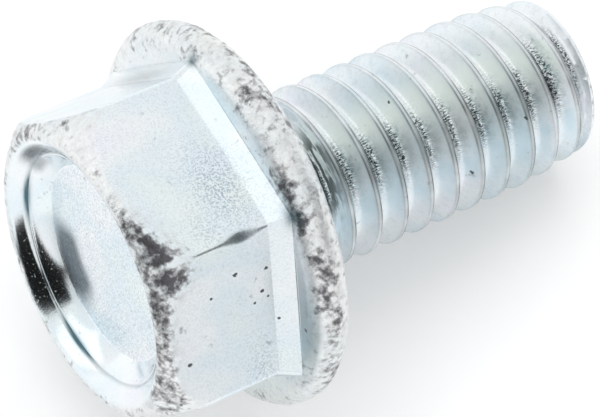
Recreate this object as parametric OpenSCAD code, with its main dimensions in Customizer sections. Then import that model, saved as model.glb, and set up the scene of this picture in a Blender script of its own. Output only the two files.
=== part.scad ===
// Flanged self-tapping screw, cold headed in one piece with a rolled thread.
// It lies on its flange and its point, with the head towards -X. Sizes are in millimetres.

/* [Head] */
// Height from the rim of the head to the bearing face under the flange
head_h = 5.9; // [5.2:0.1:7]
// Width of the hexagon across its flats
across_flats = 9.72; // [9:0.02:10.2]
// Width across the rubbed corners of the hexagon
across_corners = 11.12; // [10.7:0.02:11.2]
// Width across the corners where they are drawn in at the rim
drawn_d = 10; // [9.6:0.02:10.4]
// Height over which the corners are drawn in towards the rim
drawn_h = 1.3; // [1:0.05:2.4]
// Diameter of the highest line of the rim
rim_d = 9; // [8.6:0.05:9.2]
// Radius of the rim's outer rounding
rim_round = 0.35; // [0.2:0.05:0.4]
// Angle from the axis of the slope that runs out of the rim's rounding
rim_slope = 45; // [35:1:55]
// Height of the flare between the hexagon and the flange
flare_h = 0.65; // [0.4:0.05:0.8]
// How far the flare stands out from the flats
flare_w = 0.3; // [0.15:0.05:0.4]

/* [Indent] */
// Diameter of the indent at the rim
indent_d = 8.8; // [8.2:0.05:8.9]
// Diameter of the crease between the lip and the wall
crease_d = 7.68; // [7.2:0.02:8]
// Depth of the crease below the rim
crease_depth = 0.38; // [0.2:0.02:0.5]
// Diameter of the floor
floor_d = 6.5; // [5.5:0.1:7]
// Depth of the floor's edge below the rim
floor_depth = 0.95; // [0.6:0.05:1.4]
// How far the middle of the floor is dished below its edge
floor_dish = 0.06; // [0:0.01:0.2]

/* [Flange] */
// Diameter of the flange
flange_d = 12.84; // [12:0.02:14.2]
// Thickness of the flange, whose edge is a full half round
flange_t = 1.3; // [1:0.05:1.6]

/* [Shank] */
// Length from the bearing face to the end
shank_l = 12.1; // [10:0.1:20]
// Diameter of the plain neck
neck_d = 5.36; // [5.2:0.02:5.5]
// Length of the plain neck
neck_l = 1.2; // [1:0.1:2]
// Radius of the fillet under the flange
neck_fillet = 0.36; // [0.34:0.02:0.5]

/* [Thread] */
// Diameter over the thread crests
thread_d = 5.95; // [5.8:0.01:6]
// Diameter at the thread root
root_d = 4.76; // [4.6:0.02:4.9]
// Pitch of the right-hand thread
pitch = 1; // [0.9:0.05:1.25]
// Width of the flat on the crest
crest_w = 0.13; // [0.1:0.01:0.24]
// Width of the flat at the root
root_w = 0.16; // [0.1:0.01:0.24]
// Length over which the thread comes up to full height below the neck
runout_l = 1.1; // [0.8:0.1:1.6]
// Length of the tapered forming thread before the point
lead_l = 2.7; // [1.5:0.1:4]
// Diameter at the start of the point
point_d = 5.36; // [5.2:0.02:5.5]
// Diameter of the end face
end_d = 5.1; // [4.6:0.1:5.1]
// Length of the point
point_l = 0.2; // [0.15:0.05:0.5]
// Turn of the thread about the axis, which sets where a crest faces the ground
thread_turn = 124; // [0:1:359]
// Turn of the hexagon about the axis
hex_turn = 26; // [0:1:59]

/* [Hidden] */
// Facets of true curves
$fn = 96;
// Overlap where solids join
bite = 0.3;
// Flat sides of the thread in one turn
sides = 36;
// Points of the thread profile in one pitch
marks = 4;

flange_r = flange_d / 2;
flange_edge = flange_t / 2;
flange_mid = head_h - flange_edge;
flange_top = head_h - flange_t;
flat_r = across_flats / 2;
corner_r = across_corners / 2;
rim_r = rim_d / 2;
hex_point = 1 / cos(30);
// The rim's rounding runs tangent into its slope
rim_steps = 6;
function rim_point(q) = [rim_r + rim_round * sin(q), rim_round - rim_round * cos(q)];
slope_start = rim_point(90 - rim_slope);
slope_top = slope_start[1] + (corner_r - slope_start[0]) / tan(rim_slope);
// A cone carries the corners in towards the rim
drawn_r = drawn_d / 2;
drawn_top = drawn_h + 1;
drawn_top_r = drawn_r + (corner_r - drawn_r) * drawn_top / drawn_h;
flare_a = flange_top - flare_h;
foot_r = corner_r + flare_w * 0.63;

neck_r = neck_d / 2;
neck_end = head_h + neck_l;
crest_r = thread_d / 2;
root_r = root_d / 2;
point_r = point_d / 2;
end_r = end_d / 2;
end_a = head_h + shank_l;
point_a = end_a - point_l;
lead_a = point_a - lead_l;
// The thread body starts just inside the neck
body_r = neck_r - 0.06;
body_a = neck_end - 0.2;
stem_a = head_h + 0.2;
turns = ceil((point_a - body_a) / pitch) + 4;
rows = turns * marks;
mark_a = [-crest_w / 2, crest_w / 2, (pitch - root_w) / 2, (pitch + root_w) / 2];
mark_h = [1, 1, 0, 0];

// Lying angle of the axis, with the flange edge and the point's rim on the ground
edge_c = flange_r - flange_edge;
rest_r = point_r * cos(180 / sides);
rest_d = norm([point_a - flange_mid, edge_c - rest_r]);
lean = atan2(edge_c - rest_r, point_a - flange_mid) + asin(flange_edge / rest_d);
rest_h = edge_c * cos(lean) + flange_mid * sin(lean) + flange_edge;
back_x = -(rim_r * sin(lean) + rim_round - rim_round * cos(lean));
front_x = end_a * cos(lean) + end_r * sin(lean);
mid_x = (back_x + front_x) / 2;

function clamp(v) = min(1, max(0, v));
function ease(v) = clamp(v) * clamp(v) * (3 - 2 * clamp(v));
function angle_of(i) = 360 * (i + 0.5) / sides;
function turn_a(i) = pitch * (angle_of(i) - thread_turn) / 360;
function mark_pos(i, j) = mark_a[j % marks] + pitch * floor(j / marks);
function first_a() = head_h + pitch * (floor((body_a - head_h) / pitch) - 2);
function row_a(i, j) = first_a() + turn_a(i) + mark_pos(i, j);

// Crest and root follow a taper towards the point and rise out of the neck
function lead_at(a) = clamp((a - lead_a) / (point_a - lead_a));
function crest_at(a) = crest_r - (crest_r - point_r) * pow(lead_at(a), 1.5);
function root_at(a) = root_r + (point_r - root_r) * 0.15 * lead_at(a);
function rise_at(a) = ease((a - body_a) / runout_l);
function full_at(a, h) = h * crest_at(a) + (1 - h) * root_at(a);
function row_r(a, h) = body_r + (full_at(a, h) - body_r) * rise_at(a);

function ring(r, a) = [for (i = [0 : sides - 1]) [r * cos(angle_of(i)), r * sin(angle_of(i)), a]];
function on_row(i, a, h) = [row_r(a, h) * cos(angle_of(i)), row_r(a, h) * sin(angle_of(i)), a];

// Rows that fall before the body or past the point are drawn onto a plain ring there
snap = 0.04;
low_ring = sides;
high_ring = sides * (2 + rows);
function row_id(i, j) =
  row_a(i, j) < body_a + snap ? low_ring + i
  : row_a(i, j) > point_a - snap ? high_ring + i
  : sides * 2 + i * rows + j;
function next_id(i, j) = i < sides - 1 ? row_id(i + 1, j) : row_id(0, j + marks);
function apart(t) = t[0] != t[1] && t[1] != t[2] && t[2] != t[0];

module thread() {
  points = concat(
    ring(body_r, stem_a),
    ring(body_r, body_a),
    [for (i = [0 : sides - 1]) for (j = [0 : rows - 1]) on_row(i, row_a(i, j), mark_h[j % marks])],
    ring(point_r, point_a),
    ring(end_r, end_a)
  );
  last_ring = high_ring + sides;
  body = [
    for (i = [0 : sides - 1])
      for (j = [0 : rows - marks - 2])
        for (t = [
          [row_id(i, j), row_id(i, j + 1), next_id(i, j + 1)],
          [row_id(i, j), next_id(i, j + 1), next_id(i, j)]
        ])
          if (apart(t)) t
  ];
  stem = [for (i = [0 : sides - 1]) let (k = (i + 1) % sides) [i, low_ring + i, low_ring + k, k]];
  tip = [
    for (i = [0 : sides - 1])
      let (k = (i + 1) % sides)
        [high_ring + i, last_ring + i, last_ring + k, high_ring + k]
  ];
  start = [[for (i = [0 : sides - 1]) i]];
  finish = [[for (i = [sides - 1 : -1 : 0]) last_ring + i]];
  polyhedron(points, concat(body, stem, tip, start, finish), convexity = 10);
}

// Hexagon with its corners drawn in towards the rim and a flare down to the flange
module hexagon() {
  intersection() {
    rotate([0, 0, hex_turn])
      union() {
        cylinder(h = flange_top + bite, r = flat_r * hex_point, $fn = 6);
        translate([0, 0, flare_a])
          cylinder(
            h = flare_h,
            r1 = flat_r * hex_point,
            r2 = (flat_r + flare_w) * hex_point,
            $fn = 6
          );
      }
    union() {
      cylinder(h = drawn_top, r1 = drawn_r, r2 = drawn_top_r);
      translate([0, 0, drawn_top - bite])
        cylinder(h = flange_top + 2 * bite - drawn_top, r = corner_r + 1);
    }
    rotate_extrude()
      polygon(concat(
        [[0, 0]],
        [for (i = [0 : rim_steps]) rim_point((90 - rim_slope) * i / rim_steps)],
        [
          [corner_r, slope_top],
          [corner_r, flare_a],
          [foot_r, flange_top],
          [foot_r, flange_top + bite],
          [0, flange_top + bite]
        ]
      ));
  }
}

// Round flange with a half-round edge
module flange() {
  translate([0, 0, flange_mid])
    rotate_extrude()
      translate([edge_c, 0])
        circle(r = flange_edge);
  translate([0, 0, flange_top])
    cylinder(h = flange_t, r = edge_c);
}

// Dished indent in the top of the head
module indent() {
  rotate_extrude()
    polygon([
      [0, -1],
      [indent_d / 2 + 1, -1],
      [indent_d / 2, 0],
      [crease_d / 2, crease_depth],
      [floor_d / 2, floor_depth],
      [floor_d / 4, floor_depth + floor_dish],
      [0, floor_depth + floor_dish]
    ]);
}

// Plain neck with the fillet under the flange
module neck() {
  difference() {
    translate([0, 0, head_h - bite])
      cylinder(h = neck_fillet + bite, r = neck_r + neck_fillet);
    translate([0, 0, head_h + neck_fillet])
      rotate_extrude()
        translate([neck_r + neck_fillet, 0])
          circle(r = neck_fillet);
  }
  translate([0, 0, head_h - bite])
    cylinder(h = neck_l + bite, r = neck_r);
  translate([0, 0, neck_end])
    cylinder(h = 0.3, r1 = neck_r, r2 = root_r - 0.1);
}

module screw() {
  color([0.78, 0.82, 0.86])
    translate([-mid_x, 0, rest_h])
      rotate([0, 90 + lean, 0])
        union() {
          difference() {
            union() {
              hexagon();
              flange();
            }
            indent();
          }
          neck();
          thread();
        }
}

screw();
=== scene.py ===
import math

import bmesh
import bpy
import numpy as np
from mathutils import Matrix, Vector, noise


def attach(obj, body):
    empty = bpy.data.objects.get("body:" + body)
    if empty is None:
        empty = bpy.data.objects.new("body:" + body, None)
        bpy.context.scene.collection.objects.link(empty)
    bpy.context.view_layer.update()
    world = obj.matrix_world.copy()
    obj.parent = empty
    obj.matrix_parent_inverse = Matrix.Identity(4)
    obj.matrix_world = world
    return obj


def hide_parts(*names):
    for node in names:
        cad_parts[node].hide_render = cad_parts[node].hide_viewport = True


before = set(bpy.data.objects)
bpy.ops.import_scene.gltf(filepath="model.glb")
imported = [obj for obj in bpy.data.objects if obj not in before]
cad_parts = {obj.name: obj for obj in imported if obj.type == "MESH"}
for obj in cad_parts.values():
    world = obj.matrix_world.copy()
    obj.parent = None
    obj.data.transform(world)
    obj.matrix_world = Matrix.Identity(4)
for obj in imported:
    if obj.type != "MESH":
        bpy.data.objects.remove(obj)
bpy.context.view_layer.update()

scene = bpy.context.scene
mm = 0.001  # all lengths below are in millimetres


def ease(value):  # smooth step from 0 to 1
    value = np.clip(value, 0.0, 1.0)
    return value * value * (3 - 2 * value)


def softMin(first, second, radius):  # lesser of two, with the edge between them rounded
    blend = np.clip(0.5 + 0.5 * (second - first) / radius, 0.0, 1.0)
    return second + (first - second) * blend - radius * blend * (1 - blend)


def patchNoise(points, size, seed, octaves=3):  # fractal noise over an array of points, about -1 to 1
    shift = Vector((seed * 7.31, seed * 3.17, seed * 5.77))
    return np.array([noise.fractal(Vector(p) / size + shift, 0.9, 2.0, octaves) for p in points])


# Lying place of the screw: axis falls from the head to the point
lie = {
    "lean": 16.757978,  # degrees
    "height": 7.688686,  # middle of the head's rim above the floor
    "back": 8.329228,  # from the rim to the middle of the box, along the floor
}
lieMatrix = (
    Matrix.Translation(Vector((-lie["back"], 0, lie["height"])) * mm)
    @ Matrix.Rotation(math.radians(90 + lie["lean"]), 4, "Y")
    @ Matrix.Scale(mm, 4)
)

headShape = {
    "floorRadius": 3.25,
    "floorDepth": 0.95,
    "floorDish": 0.06,
    "creaseRadius": 3.84,
    "creaseDepth": 0.38,
    "mouthRadius": 4.4,
    "rimRadius": 4.5,
    "rimRound": 0.35,
    "rimSlope": 45,
    "flatRadius": 4.86,
    "cornerRadius": 5.56,
    "drawnRadius": 5.0,
    "drawnHeight": 1.3,
    "hexTurn": 26,
    "rubbedCorner": -154,
    "rubbedHeight": 3.0,
    "flareStart": 3.95,
    "flareWidth": 0.3,
    "flangeTop": 4.6,
    "flangeMiddle": 5.25,
    "flangeEdge": 0.65,
    "flangeReach": 5.77,
    "underside": 5.9,
    "filletRadius": 0.36,
    "neckRadius": 2.68,
    "columns": 240,
}

threadShape = {
    "start": 7.0,
    "pitch": 1.0,
    "turn": 124,
    "crestRadius": 2.975,
    "rootRadius": 2.38,
    "crestHalf": 0.065,
    "rootHalf": 0.08,
    "runout": 1.1,
    "leadStart": 15.1,
    "pointStart": 17.8,
    "pointRadius": 2.672,
    "end": [(2.672, 17.8), (2.665, 17.85), (2.64, 17.9), (2.6, 17.945), (2.55, 17.98), (2.48, 18.0), (2.35, 17.995),
            (1.9, 17.97), (1.5, 17.945), (1.0, 17.93), (0.5, 17.925)],
    "marks": [-0.1, -0.08, -0.062, -0.04, -0.014, 0.014, 0.04, 0.062, 0.08, 0.1, 0.15, 0.21, 0.27, 0.33, 0.38, 0.42,
              0.47, 0.53, 0.58, 0.66, 0.75, 0.84],
}


def headColumns(s):  # angles crowd towards the corners of the hexagon
    share = np.arange(s["columns"]) / s["columns"] * 6
    inside = share - np.floor(share)
    crowded = inside - 0.62 * np.sin(2 * math.pi * inside) / (2 * math.pi)
    return np.radians(s["hexTurn"] + 60 * (np.floor(share) + crowded))


def headRows(s, angles):
    even = np.radians(s["hexTurn"]) + np.arange(s["columns"]) * 2 * math.pi / s["columns"]
    fromFlat = (np.degrees(angles) - s["hexTurn"]) % 60 - 30
    hexReach = s["flatRadius"] / np.cos(np.radians(fromFlat))
    fromRubbed = (np.degrees(angles) - s["rubbedCorner"] + 180) % 360 - 180
    one = np.ones(s["columns"])

    def near(middle, spread):  # 1 at one side of the head, fading round it
        return np.exp(-(((np.degrees(angles) - middle + 180) % 360 - 180) / spread) ** 2)

    rows = []  # radius, height, angle, then how rough, polished, drawn in, lined with painted shade and ridged each row is

    def add(radius, height, turn=angles, upset=0.0, polish=0.0, drawn=0.0, line=0.0, ridge=0.0):
        rows.append([value * one for value in (radius, height, turn, upset, polish, drawn, line, ridge)])

    # Indent: dished floor, wall, crease and lip
    for radius in (0.02, 0.3, 0.6, 0.9, 1.2, 1.5, 1.8, 2.0, 2.2, 2.4, 2.55, 2.7, 2.85, 3.0, 3.1, 3.18, 3.235, 3.25):
        dish = s["floorDish"] * (1 - (radius / s["floorRadius"]) ** 2)
        add(radius, s["floorDepth"] + dish, polish=0.25 + 0.3 * (radius > 3.1))
    wallRun = s["creaseRadius"] - s["floorRadius"]
    for share in (0.025, 0.07, 0.14, 0.24, 0.34, 0.46, 0.58, 0.7, 0.8, 0.88):
        bulge = 0.02 * math.sin(math.pi * share)
        add(s["floorRadius"] + wallRun * share - bulge,
            s["floorDepth"] + (s["creaseDepth"] - s["floorDepth"]) * share - bulge, polish=1)
    # Crease rows: the dip carries a painted shade line
    for radius, dip, line in ((3.78, 0.0, 0.0), (3.81, 0.02, 0.6), (3.835, 0.04, 1.0), (3.86, 0.035, 1.0), (3.89, 0.012, 0.4)):
        lip = s["creaseDepth"] * (s["mouthRadius"] - radius) / (s["mouthRadius"] - s["creaseRadius"])
        add(radius, lip + dip, polish=1, line=line)
    for radius in (3.95, 4.02, 4.1, 4.18, 4.25, 4.31):
        lip = s["creaseDepth"] * (s["mouthRadius"] - radius) / (s["mouthRadius"] - s["creaseRadius"])
        bulge = 0.012 * math.sin(math.pi * (radius - 3.9) / 0.5)
        add(radius, lip - bulge, polish=1)
    add(4.36, 0.034, polish=0.8, upset=0.1)
    add(4.41, 0.012, polish=0.5, upset=0.3)
    add(4.455, 0.002, polish=0.1, upset=0.6)
    add(4.5, 0.0, upset=0.9)

    # Outside of the head, down to the flange
    slopeSin, slopeCos = math.sin(math.radians(s["rimSlope"])), math.cos(math.radians(s["rimSlope"]))
    slopeHeight = s["rimRound"] * (1 - slopeSin)
    for height in (0.006, 0.02, 0.042, 0.07, 0.1, 0.135, 0.17, 0.21, 0.26, 0.32, 0.39, 0.47, 0.56, 0.66, 0.77, 0.89,
                   1.02, 1.15, 1.28, 1.41, 1.54, 1.66, 1.77, 1.87, 1.98, 2.12, 2.3, 2.5, 2.72, 2.95, 3.18, 3.4, 3.6,
                   3.78, 3.9, 3.935, 3.95, 3.965, 4.0, 4.12, 4.26, 4.4, 4.52, 4.58, 4.6):
        if height < slopeHeight:
            rim = s["rimRadius"] + math.sqrt(s["rimRound"] ** 2 - (s["rimRound"] - height) ** 2)
        else:
            rim = s["rimRadius"] + s["rimRound"] * slopeCos + (height - slopeHeight)
        flared = (height - s["flareStart"]) / (s["flangeTop"] - s["flareStart"])
        flare = 0.5 * (flared + np.sqrt(flared ** 2 + (0.3 * near(176, 22)) ** 2)) * s["flareWidth"]  # starts softly on the upper face
        side = hexReach * (1 + flare / s["flatRadius"])
        rubbed = (0.1 * math.exp(-((height - s["rubbedHeight"]) / 0.5) ** 2) - 0.04) * (np.abs(fromRubbed) < 12)
        side = softMin(side, s["cornerRadius"] + 1.15 * flare - rubbed, 0.03)
        drawnNow = s["drawnRadius"] + (s["cornerRadius"] - s["drawnRadius"]) * height / s["drawnHeight"]
        cut = drawnNow * one
        reach = softMin(softMin(side, cut, 0.05), rim * one, 0.05)
        onCut = ease((side - reach) / 0.05)
        rimPart = ease((0.34 - height) / 0.14)
        fromCorner = np.radians(30 - np.abs(fromFlat)) * reach
        ridge = np.exp(-(fromCorner / 0.09) ** 2) * onCut * ease((height - 0.3) / 0.2)
        reach = reach + 0.035 * ridge  # a low ridge is left where two faces meet
        add(reach, height, upset=np.maximum(0.9 * rimPart, 0.85 * onCut * (1 - 0.7 * ridge)), drawn=onCut, ridge=ridge,
            polish=(0.4 + 0.5 * near(176, 24)) * np.clip(flare / 0.05, 0, 1))
    foot = rows[-1][0]
    top = np.maximum(s["flangeReach"] - 0.02 - foot, 0.004)  # flat left on the flange, next to nothing at the corners
    # Painted shade: a dark line at the flare's foot, strongest on one side, and a painted shade across the flange top
    # on that side
    footShadeLine = 0.15 + 0.65 * near(-124, 35) + 0.2 * near(176, 22)
    add(foot + np.minimum(0.01, 0.05 * top), s["flangeTop"], upset=0.1, line=footShadeLine)
    add(foot + np.minimum(0.05, 0.1 * top), s["flangeTop"], upset=0.1, line=footShadeLine)
    add(foot + np.minimum(0.075, 0.15 * top), s["flangeTop"], upset=0.1)
    for share in (0.2, 0.5, 0.8):
        add(foot + top * share, s["flangeTop"], upset=0.15 + 0.3 * share, line=0.6 * near(-118, 27))
    edgeStart = -np.arccos(np.clip((foot + 0.015 - s["flangeReach"]) / s["flangeEdge"], 0.035, 1))
    # The top of the half-round edge carries a painted shade on one side.
    for share in np.linspace(0, 1, 24):  # half-round edge, which the corners of the flare run onto
        tilt = edgeStart + (math.pi / 2 - edgeStart) * share
        cosine = np.maximum(np.cos(tilt), 0)
        add(s["flangeReach"] + s["flangeEdge"] * cosine, s["flangeMiddle"] + s["flangeEdge"] * np.sin(tilt),
            upset=0.5 + 0.5 * cosine ** 0.5 if share < 1 else 0.3, line=0.55 * near(-112, 20) * ease((0.26 - share) / 0.1))
    # Underside and neck, where the columns go back to an even spread
    inner = s["neckRadius"] + s["filletRadius"]
    for share in (0.12, 0.28, 0.45, 0.62, 0.8, 0.92):
        turn = angles + (even - angles) * share
        add(s["flangeReach"] + (inner - s["flangeReach"]) * share, s["underside"], turn, upset=0.12)
    for tilt in (0, 18, 36, 54, 72, 90):
        sine, cosine = math.sin(math.radians(tilt)), math.cos(math.radians(tilt))
        add(inner - s["filletRadius"] * sine, s["underside"] + s["filletRadius"] * (1 - cosine), even, upset=0.1)
    for height in (6.45, 6.65, 6.85, threadShape["start"]):
        add(s["neckRadius"], height, even, upset=0.05)
    return [np.array(part) for part in zip(*rows)]


def threadRadius(t, heights, offsets):  # offsets are from the nearest crest, along the axis, towards the point
    lead = np.clip((heights - t["leadStart"]) / (t["pointStart"] - t["leadStart"]), 0, 1)
    crest = t["crestRadius"] - (t["crestRadius"] - t["pointRadius"]) * lead ** 1.5
    root = t["rootRadius"] + (t["pointRadius"] - t["rootRadius"]) * 0.15 * lead
    away = np.abs(offsets)
    climb = np.clip((t["pitch"] / 2 - t["rootHalf"] - away) / (t["pitch"] / 2 - t["rootHalf"] - t["crestHalf"]), 0, 1)
    full = root + (crest - root) * (climb ** 1.3)  # rounded root
    full = full - 0.006 * np.exp(-(offsets / 0.03) ** 2) - 0.012 * ease((offsets - 0.04) / 0.03) * (away < 0.07)
    rise = ease((heights - t["start"]) / t["runout"])
    neck = headShape["neckRadius"]
    shaped = neck + (full - neck) * rise
    last = ease((heights - t["pointStart"] + 0.06) / 0.06)
    return shaped + (t["pointRadius"] - shaped) * last


def markFinish(mesh):  # map of the way round and along for streaks, and the thread's own finish
    plain = mesh.uv_layers.new(name="aroundAlong")
    helix = mesh.uv_layers.new(name="alongThread")
    for face in mesh.polygons:
        onShank = face.center.z > headShape["underside"] + 0.02 and math.hypot(face.center.x, face.center.y) < 3.05
        face.material_index = 1 if onShank else 0
        middle = math.atan2(-face.center.y, -face.center.x)
        for loop in face.loop_indices:
            x, y, z = mesh.vertices[mesh.loops[loop].vertex_index].co
            around = math.atan2(-y, -x)
            if around - middle > math.pi:
                around -= 2 * math.pi
            if middle - around > math.pi:
                around += 2 * math.pi
            plain.data[loop].uv = (around * 52, z * 8)
            helix.data[loop].uv = (around * 3, (z - around * threadShape["pitch"] / (2 * math.pi)) * 10)


# Stains: angle and height of the middle, reach along and around, strength
stains = [
    (-168, 0.3, 0.35, 0.7, 0.9), (-158, 0.55, 0.6, 0.75, 1.3), (-148, 0.6, 0.55, 0.55, 1.2), (-146, 0.25, 0.35, 0.5, 0.8),
    (-117, 0.2, 0.35, 1.0, 0.95), (-133, 0.2, 0.35, 0.8, 0.85), (-98, 0.25, 0.35, 0.8, 0.8), (110, 0.1, 0.3, 1.4, 0.42),
    (169, 5.1, 0.3, 0.55, 0.55), (158, 5.6, 0.25, 2.6, 0.5), (112, 5.3, 0.4, 2.2, 0.35), (-163, 4.72, 0.16, 1.0, 0.95), (-153, 4.8, 0.2, 0.6, 0.95),
    (-143, 4.95, 0.3, 0.4, 0.5), (-136, 5.1, 0.35, 0.45, 0.55), (-128, 5.0, 0.35, 0.5, 0.5), (-120, 5.15, 0.35, 0.5, 0.5),
    (-111, 5.1, 0.3, 0.4, 0.48), (-102, 5.2, 0.35, 0.5, 0.5), (-93, 5.35, 0.3, 0.5, 0.42),
]


dustPatches = [(-172, 3.2, 0.8, 1.3, 1.0), (-178, 3.5, 0.6, 0.9, 0.8), (-160, 2.2, 0.5, 0.5, 0.6), (-100, 3.4, 0.5, 1.0, 0.6)]
creaseShadePatches = [(68, 0.4, 0.5, 0.75, 1.0), (-12, 0.4, 0.5, 0.75, 1.0)]  # painted shade and reflection along parts of the crease
# Painted shade and painted reflection marks: angle and height of the middle, reach along and around, strength
paintedShadeMarks = [(115, 4.12, 0.26, 1.8, 0.48), (128, 3.8, 0.4, 1.5, 0.12), (-154, 4.6, 0.16, 0.3, 0.85), (146, 4.6, 0.1, 0.2, 0.9),
          (-154, 3.0, 0.45, 0.14, 0.6)]
# Painted reflection in the indent, dark patches that stand in for what the polished floor and lip mirror: angle and
# radius of the middle, reach outwards and around, strength
indentReflectionPatches = [(28, 2.56, 0.64, 1.25, 1.35), (108, 4.05, 0.2, 1.1, 1.0), (98, 3.75, 0.2, 0.6, 0.6)]


def stainAt(patches, turn, radius, height):
    total = np.zeros_like(radius)
    for angle, middle, reachAlong, reachAround, strength in patches:
        around = (np.degrees(turn) - angle + 180) % 360 - 180
        away = ((height - middle) / reachAlong) ** 2 + (np.radians(around) * radius / reachAround) ** 2
        total = np.maximum(total, strength * np.exp(-away))
    return total


def buildScrew():
    s, t = headShape, threadShape
    angles = headColumns(s)
    columns = s["columns"]
    radius, height, turn, upset, polish, drawn, line, ridge = headRows(s, angles)
    stainAndHighlight = stainAt(stains, turn, radius, height) * (1 - 0.9 * ridge) * (radius > 4.4)
    dust = np.where(radius > 4.4, stainAt(dustPatches, turn, radius, height), 0.45 * (radius < 3.2) * (height < 1.1))
    inIndent = (height < 1.1) * (radius < 4.3)
    # Painted shade and reflection: the crease line, strongest where the crease shade patches lie
    creaseShade = stainAt(creaseShadePatches, turn, radius, height) * inIndent
    line = line * np.where(inIndent, 0.3 + 0.7 * creaseShade, 1.0) + creaseShade * np.exp(-((radius - 3.83) / 0.09) ** 2)
    # Painted shade and reflection marks outside the indent
    line = line + stainAt(paintedShadeMarks, turn, radius, height) * (radius > 4.4)
    # Painted reflection: dark patches on the indent's floor and lip
    paintedReflection = np.zeros_like(radius)
    for angle, middle, reachOut, reachAround, strength in indentReflectionPatches:
        around = np.radians((np.degrees(turn) - angle + 180) % 360 - 180) * middle
        away = ((radius - middle) / reachOut) ** 4 + (around / reachAround) ** 4
        paintedReflection = np.maximum(paintedReflection, np.minimum(strength * np.exp(-away), 1.0) * inIndent)
    headCount = len(radius)

    # Forged skin: push the upset parts in and out along the section's normal
    points = np.stack([radius * np.cos(turn), radius * np.sin(turn), height], axis=2)
    flat = points.reshape(-1, 3)
    coarse = patchNoise(flat, 0.75, 3).reshape(radius.shape)
    fine = patchNoise(flat, 0.22, 8, 2).reshape(radius.shape)
    runR, runH = np.gradient(radius, axis=0), np.gradient(height, axis=0)
    length = np.maximum(np.hypot(runR, runH), 1e-6)
    push = upset * (0.018 * coarse + 0.012 * fine) + drawn * 0.02 * fine + stainAndHighlight * 0.02 * fine
    push[:17] = 0.003 * coarse[:17]
    push[-6:] = 0
    radius = radius + push * runH / length
    height = height - push * runR / length

    # Thread: rows follow the helix, so that the crest stays crisp all the way round
    marks = np.array(t["marks"])
    perTurn = len(marks)
    even = np.radians(s["hexTurn"]) + np.arange(columns) * 2 * math.pi / columns
    firstTurn = math.floor(t["start"] - s["underside"]) - 2
    turnsMade = math.ceil((t["pointStart"] - t["start"]) / t["pitch"]) + 4
    rowCount = turnsMade * perTurn
    climb = (np.degrees(even) - t["turn"]) / 360 * t["pitch"]
    rowPlace = (np.arange(rowCount) // perTurn) * t["pitch"] + marks[np.arange(rowCount) % perTurn]
    crestPlace = s["underside"] + firstTurn * t["pitch"] + climb
    along = crestPlace[:, None] + rowPlace[None, :]
    offset = (rowPlace + t["pitch"] / 2) % t["pitch"] - t["pitch"] / 2
    offset = np.repeat(offset[None, :], columns, axis=0)
    kept = np.clip(along, t["start"], t["pointStart"])
    reach = threadRadius(t, kept, offset)
    reach = np.where(along <= t["start"], s["neckRadius"], np.where(along >= t["pointStart"], t["pointRadius"], reach))
    # Torn metal along each root, and slight waves along the crest
    inside = ease((along - t["start"] - 0.3) / 0.5) * ease((t["pointStart"] - 0.1 - along) / 0.2)
    past = np.mod(offset, t["pitch"])
    away = np.abs(offset)
    runout = ease((along - 7.15) / 0.35) * (1 - ease((along - 7.8) / 0.4))
    spots = np.stack([reach * np.cos(even)[:, None], reach * np.sin(even)[:, None], kept], axis=2).reshape(-1, 3)
    teeth = patchNoise(spots * np.array([1, 1, 0.4]), 0.15, 5, 2).reshape(reach.shape)
    # The run-out folds are painted darker on the side that mirrors the dark side card: real folds, partly painted
    # reflection
    facing = np.cos(even - math.radians(-160))[:, None]
    runout = runout * (0.2 + 0.8 * ease((facing - 0.75) / 0.22))
    wave = patchNoise(spots, 0.9, 11, 2).reshape(reach.shape)
    patchy = np.clip(0.75 + 0.6 * patchNoise(spots, 0.6, 17, 2).reshape(reach.shape), 0, 1)

    def near(middle, spread):  # 1 at one side of the thread, fading round it
        return np.exp(-(((np.degrees(even) - middle + 180) % 360 - 180) / spread) ** 2)[:, None]

    def band(place, start, startRun, stop, stopRun):  # 1 between two places along the pitch
        return ease((place - start) / startRun) * (1 - ease((place - stop) / stopRun)) * inside

    gritBand = band(past, 0.1, 0.06, 0.56, 0.16) * (0.25 + 0.75 * near(-160, 45))
    # Painted highlight: a near-white band on the point-side flank, strongest on one side
    highlightBand = band(past, 0.08, 0.06, 0.42, 0.12) * (0.3 + 0.7 * near(-174, 26))
    # Painted reflection: a soft dark smear on the head-side flank and near the point, on the side that mirrors the dark
    # side card
    reflectionSmear = band(past, 0.38, 0.08, 0.58, 0.36) * near(-155, 20) * patchy
    tipReflectionSmear = band(past, 0.15, 0.1, 0.7, 0.2) * near(-166, 26) * ease((along - 16.2) / 0.4)
    reflectionSmear = np.maximum(reflectionSmear, tipReflectionSmear)
    # Painted shade: dark lines along the crest's edges, strongest on the sides that mirror the dark side card
    headSide = band(offset, -0.105, 0.025, -0.06, 0.03) * (0.15 + 0.75 * near(-157, 27))
    pointSide = band(offset, 0.015, 0.025, 0.095, 0.025) * np.minimum(0.6 + 0.4 * near(-157, 32) + 0.4 * near(-105, 35), 1)
    crestFill = band(offset, -0.09, 0.03, 0.07, 0.03) * (0.1 + 0.35 * near(-105, 35) + 0.3 * near(-157, 27))
    crestShadeLines = np.maximum(headSide + pointSide, crestFill) * np.clip(0.85 + 0.6 * wave, 0.35, 1)  # painted shade: two dark lines along each crest, then one
    blueTinge = band(past, 0.5, 0.12, 0.86, 0.1) * near(-126, 20) * patchy
    greenTinge = band(past, 0.5, 0.12, 0.86, 0.1) * near(-178, 22)
    reach = reach + gritBand * 0.012 * teeth + (away < 0.1) * inside * 0.008 * wave

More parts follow.
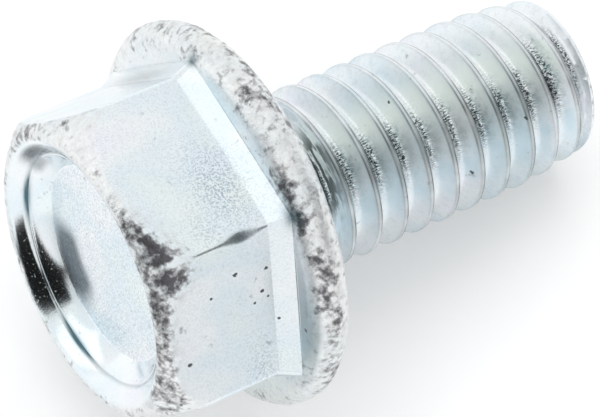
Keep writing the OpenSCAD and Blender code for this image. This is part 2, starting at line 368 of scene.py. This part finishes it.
    # Vertices: pole of the indent, head rows, thread columns, end rows, pole of the end
    verts = [(0.0, 0.0, float(s["floorDepth"] + s["floorDish"]))]
    masks = [(0.0, 0.6, 0.0, 0.0, 0.0, 0.0, 0.0, 0.0)]
    for r in range(headCount):
        for c in range(columns):
            verts.append((radius[r, c] * math.cos(turn[r, c]), radius[r, c] * math.sin(turn[r, c]), height[r, c]))
            masks.append((upset[r, c], polish[r, c], paintedReflection[r, c], dust[r, c], min(line[r, c], 1.0), stainAndHighlight[r, c], 0.0, 0.0))
    threadBase = len(verts)
    # The thread keeps its run-out folds, painted reflection smear, torn grit, painted shade crest lines, painted
    # highlight band and tints in the head's layers
    for c in range(columns):
        for r in range(rowCount):
            verts.append((reach[c, r] * math.cos(even[c]), reach[c, r] * math.sin(even[c]), kept[c, r]))
            masks.append((0.0, runout[c, r], reflectionSmear[c, r], gritBand[c, r], crestShadeLines[c, r], highlightBand[c, r],
                          blueTinge[c, r], greenTinge[c, r]))
    endBase = len(verts)
    for ringRadius, ringHeight in t["end"]:
        for c in range(columns):
            place = Vector((ringRadius * math.cos(even[c]), ringRadius * math.sin(even[c]), ringHeight))
            bump = 1 + 0.004 * noise.noise(place / 0.5) * (ringHeight > t["pointStart"])
            verts.append((place.x * bump, place.y * bump, place.z))
            # Painted shade: a dark line along the point's end edge
            endEdgeShade = 0.7 if 17.92 < ringHeight < 17.99 and ringRadius > 2.5 else 0.0
            masks.append((0.55 if ringHeight > t["pointStart"] else 0.4, 0.0, 0.0, 0.0, endEdgeShade, 0.0, 0.0, 0.0))
    endPole = len(verts)
    verts.append((0.0, 0.0, t["end"][-1][1]))
    masks.append((0.5, 0.0, 0.0, 0.0, 0.0, 0.0, 0.0, 0.0))

    faces = []
    for c in range(columns):
        n = (c + 1) % columns
        faces.append((0, 1 + n, 1 + c))
        for r in range(headCount - 1):
            a, b = 1 + r * columns, 1 + (r + 1) * columns
            faces.append((a + c, a + n, b + n, b + c))
        for r in range(rowCount - perTurn - 1 if c == columns - 1 else rowCount - 1):
            step = perTurn if c == columns - 1 else 0
            a, b = threadBase + c * rowCount, threadBase + n * rowCount + step
            low, high = min(along[c, r], along[c, r + 1]), max(along[c, r], along[c, r + 1])
            if high <= t["start"] - 0.2 or low >= t["pointStart"] + 0.2:
                continue
            faces.append((a + r, b + r, b + r + 1, a + r + 1))
        for r in range(len(t["end"]) - 1):
            a, b = endBase + r * columns, endBase + (r + 1) * columns
            faces.append((a + c, a + n, b + n, b + c))
        a = endBase + (len(t["end"]) - 1) * columns
        faces.append((a + c, a + n, endPole))

    mesh = bpy.data.meshes.new("screw")
    mesh.from_pydata([Vector(v) for v in verts], [], faces)
    for index, name in enumerate(("upset", "polish", "paintedReflection", "grit", "line", "stainAndHighlight", "blueTinge", "greenTinge")):
        layer = mesh.attributes.new(name, "FLOAT", "POINT")
        layer.data.foreach_set("value", np.array([m[index] for m in masks], np.float32))
    work = bmesh.new()
    work.from_mesh(mesh)
    bmesh.ops.remove_doubles(work, verts=work.verts, dist=1e-4)
    bmesh.ops.dissolve_degenerate(work, edges=work.edges, dist=1e-5)
    loose = [v for v in work.verts if not v.link_faces]
    bmesh.ops.delete(work, geom=loose, context="VERTS")
    bmesh.ops.recalc_face_normals(work, faces=work.faces)
    openEdges = sum(1 for e in work.edges if not e.is_manifold)
    work.to_mesh(mesh)
    work.free()
    markFinish(mesh)
    mesh.transform(lieMatrix)
    for vertex in mesh.vertices:  # the rough edge rests on the floor and doesn't go into it
        vertex.co.z = max(vertex.co.z, 0.0)
    mesh.polygons.foreach_set("use_smooth", np.ones(len(mesh.polygons), bool))
    mesh.set_sharp_from_angle(angle=math.radians(50))
    triangles = sum(len(p.vertices) - 2 for p in mesh.polygons)
    print("screw mesh", len(mesh.vertices), "points", triangles, "triangles", openEdges, "open edges")
    return bpy.data.objects.new("screwBody", mesh)


screw = buildScrew()
scene.collection.objects.link(screw)
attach(screw, "root")
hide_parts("screw")


def addNode(tree, kind, label, **values):  # values set the node's own fields, or its sockets by name
    node = tree.nodes.new(kind)
    node.label = label
    for name, value in values.items():
        if hasattr(node, name):
            setattr(node, name, value)
        else:
            node.inputs[name.replace("_", " ")].default_value = value
    return node


def mathNode(tree, operation, label, first, second=0.0, clamp=False):
    node = addNode(tree, "ShaderNodeMath", label, operation=operation, use_clamp=clamp)
    for index, value in enumerate((first, second)):
        if isinstance(value, bpy.types.NodeSocket):
            tree.links.new(value, node.inputs[index])
        else:
            node.inputs[index].default_value = value
    return node.outputs[0]


def rampNode(tree, label, source, stops):  # stops are (place, colour or grey)
    node = addNode(tree, "ShaderNodeValToRGB", label)
    ramp = node.color_ramp
    while len(ramp.elements) < len(stops):
        ramp.elements.new(0.5)
    for element, (place, tone) in zip(ramp.elements, stops):
        element.position = place
        element.color = (*tone, 1) if isinstance(tone, tuple) else (tone, tone, tone, 1)
    tree.links.new(source, node.inputs[0])
    return node.outputs[0]


def mixColour(tree, label, share, first, second, blend="MIX"):
    node = addNode(tree, "ShaderNodeMix", label, data_type="RGBA", blend_type=blend)
    for index, value in ((0, share), (6, first), (7, second)):
        if isinstance(value, bpy.types.NodeSocket):
            tree.links.new(value, node.inputs[index])
        elif index:
            node.inputs[index].default_value = (*value, 1)
        else:
            node.inputs[index].default_value = value
    return node.outputs[2]


def noiseNode(tree, label, place, scale, detail=2.0, rough=0.5):
    node = addNode(tree, "ShaderNodeTexNoise", label, Scale=scale, Detail=detail, Roughness=rough)
    tree.links.new(place, node.inputs["Vector"])
    return node.outputs[0]


def newGroup(name, inputs, outputs):
    group = bpy.data.node_groups.new(name, "ShaderNodeTree")
    for socketName, kind in inputs:
        group.interface.new_socket(name=socketName, in_out="INPUT", socket_type=kind)
    for socketName, kind in outputs:
        group.interface.new_socket(name=socketName, in_out="OUTPUT", socket_type=kind)
    return group, group.nodes.new("NodeGroupInput"), group.nodes.new("NodeGroupOutput")


# Plating: pale blue zinc that drifts towards green, lavender and cream, with a fine grain
platingTone = {
    "cool": (0.76, 0.85, 0.90),
    "plain": (0.86, 0.90, 0.92),
    "green": (0.82, 0.89, 0.88),
    "lavender": (0.85, 0.87, 0.93),
    "driftScale": 0.3,
    "grainScale": 15.0,
}


def platingGroup(look):
    group, source, out = newGroup("platingTint", [("Place", "NodeSocketVector")],
                                  [("Tint", "NodeSocketColor"), ("Grain", "NodeSocketFloat")])
    drift = noiseNode(group, "drift", source.outputs["Place"], look["driftScale"], 2.0, 0.55)
    tint = rampNode(group, "tints", drift, [(0.30, look["lavender"]), (0.44, look["plain"]),
                                            (0.56, look["cool"]), (0.70, look["green"])])
    grain = noiseNode(group, "grain", source.outputs["Place"], look["grainScale"], 3.0, 0.7)
    group.links.new(tint, out.inputs["Tint"])
    group.links.new(grain, out.inputs["Grain"])
    return group


# Flecks: dark pits where Cover lets them through, and the softer mottle of a forged skin
def fleckGroup():
    group, source, out = newGroup("darkFlecks", [("Place", "NodeSocketVector"), ("Cover", "NodeSocketFloat")],
                                  [("Flecks", "NodeSocketFloat"), ("Mottle", "NodeSocketFloat")])
    broad = noiseNode(group, "broad patches", source.outputs["Place"], 1.5, 2.0, 0.5)
    small = noiseNode(group, "small pits", source.outputs["Place"], 4.2, 3.0, 0.62)
    both = mathNode(group, "ADD", "both", mathNode(group, "MULTIPLY", "broad share", broad, 0.45),
                    mathNode(group, "MULTIPLY", "small share", small, 0.55))
    lifted = mathNode(group, "ADD", "cover", both, mathNode(group, "MULTIPLY", "cover share", source.outputs["Cover"], 0.3))
    flecks = rampNode(group, "edge", lifted, [(0.62, 0.0), (0.78, 1.0)])
    mottle = rampNode(group, "mottle", small, [(0.38, 0.0), (0.66, 1.0)])
    group.links.new(flecks, out.inputs["Flecks"])
    group.links.new(mottle, out.inputs["Mottle"])
    return group


# One round speck of dirt
def speckGroup():
    group, source, out = newGroup("dirtSpeck", [("Place", "NodeSocketVector"), ("Middle", "NodeSocketVector"),
                                                ("Size", "NodeSocketFloat")], [("Speck", "NodeSocketFloat")])
    away = addNode(group, "ShaderNodeVectorMath", "away", operation="DISTANCE")
    group.links.new(source.outputs["Place"], away.inputs[0])
    group.links.new(source.outputs["Middle"], away.inputs[1])
    ragged = mathNode(group, "MULTIPLY", "ragged", noiseNode(group, "rag", source.outputs["Place"], 12.0), 0.9)
    share = mathNode(group, "DIVIDE", "share", away.outputs["Value"], source.outputs["Size"])
    speck = rampNode(group, "edge", mathNode(group, "ADD", "rough edge", share, ragged), [(0.85, 1.0), (1.0, 0.0)])
    group.links.new(speck, out.inputs["Speck"])
    return group


platingTint = platingGroup(platingTone)
darkFlecks = fleckGroup()
dirtSpeck = speckGroup()


def newMetal(name):
    material = bpy.data.materials.new(name)
    material.use_nodes = True
    tree = material.node_tree
    shader = tree.nodes["Principled BSDF"]
    shader.inputs["Metallic"].default_value = 1.0
    place = addNode(tree, "ShaderNodeVectorMath", "millimetres", operation="SCALE")
    place.inputs["Scale"].default_value = 1000.0
    tree.links.new(addNode(tree, "ShaderNodeTexCoord", "place").outputs["Object"], place.inputs[0])
    return material, tree, shader, place.outputs[0]


def groupNode(tree, group, place):
    node = addNode(tree, "ShaderNodeGroup", group.name, node_tree=group)
    tree.links.new(place, node.inputs["Place"])
    return node


def maskNode(tree, name):
    return addNode(tree, "ShaderNodeAttribute", name, attribute_name=name).outputs["Fac"]


def speckNodes(tree, place, specks):  # specks are (x, y, z, size) in millimetres
    total = None
    for x, y, z, size in specks:
        node = groupNode(tree, dirtSpeck, place)
        node.inputs["Middle"].default_value = (x, y, z)
        node.inputs["Size"].default_value = size
        total = node.outputs["Speck"] if total is None else mathNode(tree, "MAXIMUM", "either speck", total, node.outputs["Speck"])
    return total


headLook = {
    "pit": (0.12, 0.12, 0.13),
    "skin": (0.50, 0.49, 0.50),  # dull skin of the upset edges
    "cream": (0.87, 0.86, 0.83),
    "dust": (0.36, 0.45, 0.53),
    # painted reflection colour of the dark patches in the indent
    "paintedReflection": (0.06, 0.085, 0.10),
    # painted shade colour of the dark lines and shade marks
    "crease": (0.015, 0.085, 0.11),
    "flatRough": 0.27,
    "polishRough": 0.12,
    "upsetRough": 0.36,
    "sparkleRough": 0.45,
    "specks": [(-4.62, -3.16, 10.76, 0.17), (-3.63, -3.29, 10.26, 0.14), (-4.0, -3.72, 9.71, 0.14), (-6.96, -4.57, 9.28, 0.16),
               (-5.02, -3.3, 10.9, 0.1), (-4.3, -3.5, 10.3, 0.09), (-3.89, -3.87, 9.44, 0.1), (-3.81, -4.43, 8.63, 0.1),
               (-5.59, -3.43, 10.63, 0.09), (-4.35, -3.9, 9.53, 0.09), (-3.28, -5.16, 8.5, 0.15)],
}


def headMaterial(look):
    material, tree, shader, place = newMetal("platedHead")
    tint = groupNode(tree, platingTint, place)
    upset, polish, line, stainAndHighlight, dust = (maskNode(tree, name) for name in ("upset", "polish", "line", "stainAndHighlight", "grit"))
    paintedReflection = maskNode(tree, "paintedReflection")
    flecks = groupNode(tree, darkFlecks, place)
    cover = mathNode(tree, "ADD", "cover", mathNode(tree, "MULTIPLY", "upset cover", upset, 0.3),
                     mathNode(tree, "MULTIPLY", "stain cover", stainAndHighlight, 0.6))
    tree.links.new(cover, flecks.inputs["Cover"])
    # Grain darkens the open faces and leaves the polished indent clear
    speckle = rampNode(tree, "speckle", tint.outputs["Grain"], [(0.34, 0.86), (0.54, 1.0)])
    unpolished = mathNode(tree, "SUBTRACT", "not polished", 1.0, mathNode(tree, "MULTIPLY", "polish share", polish, 0.6))
    colour = mixColour(tree, "grain", unpolished, tint.outputs["Tint"], speckle, "MULTIPLY")
    dusty = rampNode(tree, "dusty grain", tint.outputs["Grain"], [(0.40, 1.0), (0.54, 0.0)])
    # Painted reflection: dark patches in the indent, broken up by the grain
    cloudy = rampNode(tree, "painted reflection grain", tint.outputs["Grain"], [(0.48, 1.0), (0.60, 0.92), (0.68, 0.45)])
    colour = mixColour(tree, "paintedReflection", mathNode(tree, "MULTIPLY", "painted reflection share", cloudy, paintedReflection), colour, look["paintedReflection"])
    colour = mixColour(tree, "dust", mathNode(tree, "MULTIPLY", "dust share", dusty, dust), colour, look["dust"])
    colour = mixColour(tree, "cream", mathNode(tree, "MULTIPLY", "cream share", upset, 0.45), colour, look["cream"])
    dull = mathNode(tree, "ADD", "dull share", mathNode(tree, "MULTIPLY", "upset share", upset, 0.4),
                    mathNode(tree, "MULTIPLY", "stain share", stainAndHighlight, 0.9), clamp=True)
    colour = mixColour(tree, "skin", mathNode(tree, "MULTIPLY", "mottled", dull, flecks.outputs["Mottle"]), colour, look["skin"])
    colour = mixColour(tree, "pits", flecks.outputs["Flecks"], colour, look["pit"])
    # Painted shade and reflection: dark lines in the crease, at the flare's foot and on the flange, and the shade marks
    colour = mixColour(tree, "crease", mathNode(tree, "MULTIPLY", "crease share", line, 0.92), colour, look["crease"])
    colour = mixColour(tree, "specks", speckNodes(tree, place, look["specks"]), colour, look["pit"])
    tree.links.new(colour, shader.inputs["Base Color"])
    rough = mathNode(tree, "ADD", "upset rough", look["flatRough"],
                     mathNode(tree, "MULTIPLY", "more", upset, look["upsetRough"] - look["flatRough"]))
    rough = mathNode(tree, "SUBTRACT", "polish rough", rough,
                     mathNode(tree, "MULTIPLY", "less", polish, look["flatRough"] - look["polishRough"]))
    # Dull grains in the polish sparkle where it mirrors something dark
    sparkle = rampNode(tree, "sparkle", noiseNode(tree, "sparkles", place, 12.0, 2.0, 0.6), [(0.66, 0.0), (0.74, look["sparkleRough"])])
    rough = mathNode(tree, "ADD", "sparkle rough", rough, mathNode(tree, "MULTIPLY", "sparkle share", sparkle, polish))
    tree.links.new(rough, shader.inputs["Roughness"])
    forged = noiseNode(tree, "forged skin", place, 6.0, 4.0, 0.65)
    depth = mathNode(tree, "MULTIPLY", "depth", mathNode(tree, "MAXIMUM", "rough parts", upset, stainAndHighlight), 1.8)
    forgedHeight = mathNode(tree, "MULTIPLY", "forged", forged, depth)
    grainHeight = mathNode(tree, "MULTIPLY", "grain height", tint.outputs["Grain"],
                           mathNode(tree, "MULTIPLY", "grain share", unpolished, 0.2))
    bump = addNode(tree, "ShaderNodeBump", "skin bump", Strength=1.0, Distance=0.00002)
    tree.links.new(mathNode(tree, "ADD", "height", forgedHeight, grainHeight), bump.inputs["Height"])
    tree.links.new(bump.outputs[0], shader.inputs["Normal"])
    return material


threadLook = {
    # dark grey of the pits, specks and run-out folds, and of the painted shade crest lines
    "line": (0.11, 0.13, 0.13),
    # dark of the torn metal and of the painted reflection at the root
    "tornAndReflectionDark": (0.045, 0.06, 0.07),
    # painted reflection colour of the flank smear
    "reflectionSmear": (0.36, 0.48, 0.49),
    "blue": (0.66, 0.79, 0.86),
    "green": (0.82, 0.89, 0.85),
    # painted highlight colour of the flank band
    "paintedHighlight": (0.97, 0.985, 0.985),
    "rough": 0.4,
    "tornRough": 0.2,
    "specks": [(2.87, 0.38, 7.21, 0.10), (6.78, -1.76, 5.59, 0.13), (4.43, -2.37, 5.08, 0.16)],
}


def threadMaterial(look):
    material, tree, shader, place = newMetal("platedThread")
    tint = groupNode(tree, platingTint, place)
    grit, line, upset, runout = (maskNode(tree, name) for name in ("grit", "line", "upset", "polish"))
    reflectionSmear, paintedHighlight = maskNode(tree, "paintedReflection"), maskNode(tree, "stainAndHighlight")
    follow = addNode(tree, "ShaderNodeUVMap", "along the thread", uv_map="alongThread")
    drawnLines = noiseNode(tree, "rolled lines", follow.outputs[0], 1.0, 2.0, 0.6)
    stretch = addNode(tree, "ShaderNodeUVMap", "round and along", uv_map="aroundAlong")
    ticks = noiseNode(tree, "torn ticks", stretch.outputs[0], 1.0, 3.0, 0.7)
    tickEdge = rampNode(tree, "tick edge", ticks, [(0.46, 1.0), (0.53, 0.0)])
    highlightEdge = rampNode(tree, "highlight edge", ticks, [(0.38, 0.2), (0.5, 1.0)])
    flecks = groupNode(tree, darkFlecks, place)
    tree.links.new(mathNode(tree, "MULTIPLY", "end cover", upset, 0.7), flecks.inputs["Cover"])
    speckle = rampNode(tree, "speckle", tint.outputs["Grain"], [(0.34, 0.94), (0.5, 1.0)])
    colour = mixColour(tree, "grain", 1.0, tint.outputs["Tint"], speckle, "MULTIPLY")
    clouds = noiseNode(tree, "smudges", place, 5.0, 4.0, 0.7)
    colour = mixColour(tree, "clouds", 1.0, colour, rampNode(tree, "cloud edge", clouds, [(0.36, 0.92), (0.50, 1.0)]), "MULTIPLY")
    for name in ("blue", "green"):
        colour = mixColour(tree, name, maskNode(tree, name + "Tinge"), colour, look[name])
    # Painted reflection: the flank smear, broken up by the smudges
    reflectionBreakup = rampNode(tree, "reflectionBreakup", clouds, [(0.40, 1.0), (0.58, 0.25)])
    colour = mixColour(tree, "reflectionSmear", mathNode(tree, "MULTIPLY", "reflection smear share", reflectionSmear, reflectionBreakup), colour, look["reflectionSmear"])
    # Painted highlight: the flank band, broken up by the torn ticks
    colour = mixColour(tree, "painted highlight on the flank", mathNode(tree, "MULTIPLY", "painted highlight share", paintedHighlight, highlightEdge), colour, look["paintedHighlight"])
    # Dark ticks of torn metal at the root, shown only inside the painted reflection smear: real torn metal, partly
    # painted reflection
    tornInReflection = mathNode(tree, "MULTIPLY", "torn zone in painted reflection", mathNode(tree, "MULTIPLY", "torn root in painted reflection", grit, reflectionSmear), 2.0, clamp=True)
    tornAndReflectionDark = mathNode(tree, "MULTIPLY", "torn and painted reflection share", tornInReflection, tickEdge)
    colour = mixColour(tree, "torn flank and painted reflection", tornAndReflectionDark, colour, look["tornAndReflectionDark"])
    # Run-out folds: real folds, painted darker on the side that mirrors the dark side card
    foldsAndReflection = rampNode(tree, "fold edge", drawnLines, [(0.46, 1.0), (0.55, 0.0)])
    colour = mixColour(tree, "run-out folds and painted reflection", mathNode(tree, "MULTIPLY", "fold share", foldsAndReflection, runout), colour, look["line"])
    # Painted shade: the dark lines along each crest
    colour = mixColour(tree, "crest lines", mathNode(tree, "MULTIPLY", "line share", line, 0.95), colour, look["line"])
    colour = mixColour(tree, "pits", flecks.outputs["Flecks"], colour, look["line"])
    colour = mixColour(tree, "specks", speckNodes(tree, place, look["specks"]), colour, look["line"])
    tree.links.new(colour, shader.inputs["Base Color"])
    rough = mathNode(tree, "ADD", "torn rough", look["rough"],
                     mathNode(tree, "MULTIPLY", "more", grit, look["tornRough"] - look["rough"]))
    tree.links.new(rough, shader.inputs["Roughness"])
    tornHeight = mathNode(tree, "MULTIPLY", "torn height", ticks, mathNode(tree, "MULTIPLY", "torn depth", grit, 0.8))
    lineDepth = mathNode(tree, "ADD", "line depth", mathNode(tree, "MULTIPLY", "run-out lines", runout, 1.6), 0.15)
    tornHeight = mathNode(tree, "ADD", "torn and rolled", tornHeight, mathNode(tree, "MULTIPLY", "rolled height", drawnLines, lineDepth))
    grainHeight = mathNode(tree, "MULTIPLY", "grain height", tint.outputs["Grain"], 0.14)
    bump = addNode(tree, "ShaderNodeBump", "torn bump", Strength=1.0, Distance=0.00002)
    tree.links.new(mathNode(tree, "ADD", "height", tornHeight, grainHeight), bump.inputs["Height"])
    tree.links.new(bump.outputs[0], shader.inputs["Normal"])
    return material


screw.data.materials.append(headMaterial(headLook))
screw.data.materials.append(threadMaterial(threadLook))
print("zinc finishes made")

# Studio: white floor, white surround, and dark cards that the bright metal mirrors
studio = {
    "floorSize": 3.0,
    "floorColour": (0.97, 0.97, 0.97, 1),
    "surround": (1.0, 1.0, 1.0, 1),
    "fill": 0.8,  # share of the surround that lights the floor
    "floorLift": 0.1,  # makes up the white of the floor where it is seen or mirrored
    "lamps": {  # place in metres, size, energy, and whether the metal mirrors it
        "softbox": ((0.1, 0.25, 0.55), 0.5, 1.15, False),
        "lipPanel": ((-0.323, 0.202, 0.124), 0.2, 0.042, True),
        "flarePanel": ((-0.06, 0.24, 0.54), 0.3, 0.06, True),
    },
    "cards": {  # corners in millimetres, then tone
        "headCard": ([(-55.3, 8.3, 0.3), (-51.9, -19.5, 0.3), (-51.9, -19.5, 51), (-55.3, 8.3, 51)], (0.01, 0.01, 0.01)),
        "sideCard": ([(125, -272, 70), (293, -66, 70), (293, -66, 360), (125, -272, 360)], (0.2, 0.2, 0.2)),
        "frontCard": ([(-14, -70, 0.3), (24, -70, 0.3), (24, -25, 0.3), (-14, -25, 0.3)], (0.76, 0.77, 0.78)),
    },
}


def plainPaint(name, colour):
    material = bpy.data.materials.new(name)
    material.use_nodes = True
    shader = material.node_tree.nodes["Principled BSDF"]
    shader.inputs["Base Color"].default_value = colour
    shader.inputs["Roughness"].default_value = 0.9
    shader.inputs["Specular IOR Level"].default_value = 0.0
    return material


def stagePiece(name, points, paint):
    mesh = bpy.data.meshes.new(name)
    mesh.from_pydata(points, [], [(0, 1, 2, 3)])
    mesh.materials.append(paint)
    piece = bpy.data.objects.new(name, mesh)
    scene.collection.objects.link(piece)
    return piece


def seenOrMirrored(tree):  # 1 where the camera, a mirror or glass looks
    path = addNode(tree, "ShaderNodeLightPath", "kind of ray")
    seen = mathNode(tree, "MAXIMUM", "seen or mirrored", path.outputs["Is Camera Ray"], path.outputs["Is Glossy Ray"])
    return mathNode(tree, "MAXIMUM", "or looked through", seen, path.outputs["Is Transmission Ray"])


def addLamp(name, place, size, energy, mirrored):
    lampData = bpy.data.lights.new(name, "AREA")
    lampData.shape = "SQUARE"
    lampData.size = size
    lampData.energy = energy
    lamp = bpy.data.objects.new(name, lampData)
    scene.collection.objects.link(lamp)
    lamp.location = place
    lamp.rotation_euler = (-lamp.location).to_track_quat("-Z", "Y").to_euler()
    lamp.visible_glossy = mirrored


def buildStudio(s):
    half = s["floorSize"] / 2
    floorPaint = plainPaint("floorPaint", s["floorColour"])
    stagePiece("floor", [(-half, -half, 0), (half, -half, 0), (half, half, 0), (-half, half, 0)], floorPaint)
    floorShader = floorPaint.node_tree.nodes["Principled BSDF"]
    floorShader.inputs["Emission Color"].default_value = s["surround"]
    floorPaint.node_tree.links.new(
        mathNode(floorPaint.node_tree, "MULTIPLY", "lift", seenOrMirrored(floorPaint.node_tree), s["floorLift"]),
        floorShader.inputs["Emission Strength"])
    for name, (corners, tone) in s["cards"].items():
        piece = stagePiece(name, [Vector(corner) * mm for corner in corners], plainPaint(name + "Paint", (*tone, 1)))
        piece.visible_camera = False
        piece.visible_diffuse = False
        piece.visible_shadow = False
    # The surround is white where it is seen or mirrored, and weaker as light on the floor
    world = bpy.data.worlds.new("studio")
    scene.world = world
    world.use_nodes = True
    tree = world.node_tree
    strength = mathNode(tree, "MAXIMUM", "strength", seenOrMirrored(tree), s["fill"])
    back = tree.nodes["Background"]
    back.inputs["Color"].default_value = s["surround"]
    tree.links.new(strength, back.inputs["Strength"])
    for name, lamp in s["lamps"].items():
        addLamp(name, *lamp)


buildStudio(studio)
print("studio set")

# Camera
cameraView = {
    "place": (-18.868536, -29.338670, 108.815549),
    "ahead": (0.164535, 0.262236, -0.950874),
    "up": (0.465642, 0.829182, 0.309248),
    "lens": 206.27,
}
cameraData = bpy.data.cameras.new("camera")
camera = bpy.data.objects.new("camera", cameraData)
scene.collection.objects.link(camera)
ahead, up = Vector(cameraView["ahead"]).normalized(), Vector(cameraView["up"]).normalized()
right = ahead.cross(up).normalized()
up = right.cross(ahead)
camera.matrix_world = Matrix((
    (right.x, up.x, -ahead.x, cameraView["place"][0] * mm),
    (right.y, up.y, -ahead.y, cameraView["place"][1] * mm),
    (right.z, up.z, -ahead.z, cameraView["place"][2] * mm),
    (0, 0, 0, 1),
))
cameraData.sensor_fit = "HORIZONTAL"
cameraData.sensor_width = 36
cameraData.lens = cameraView["lens"]
cameraData.clip_start = 0.005
cameraData.clip_end = 20
scene.camera = camera
scene.view_settings.view_transform = "Standard"
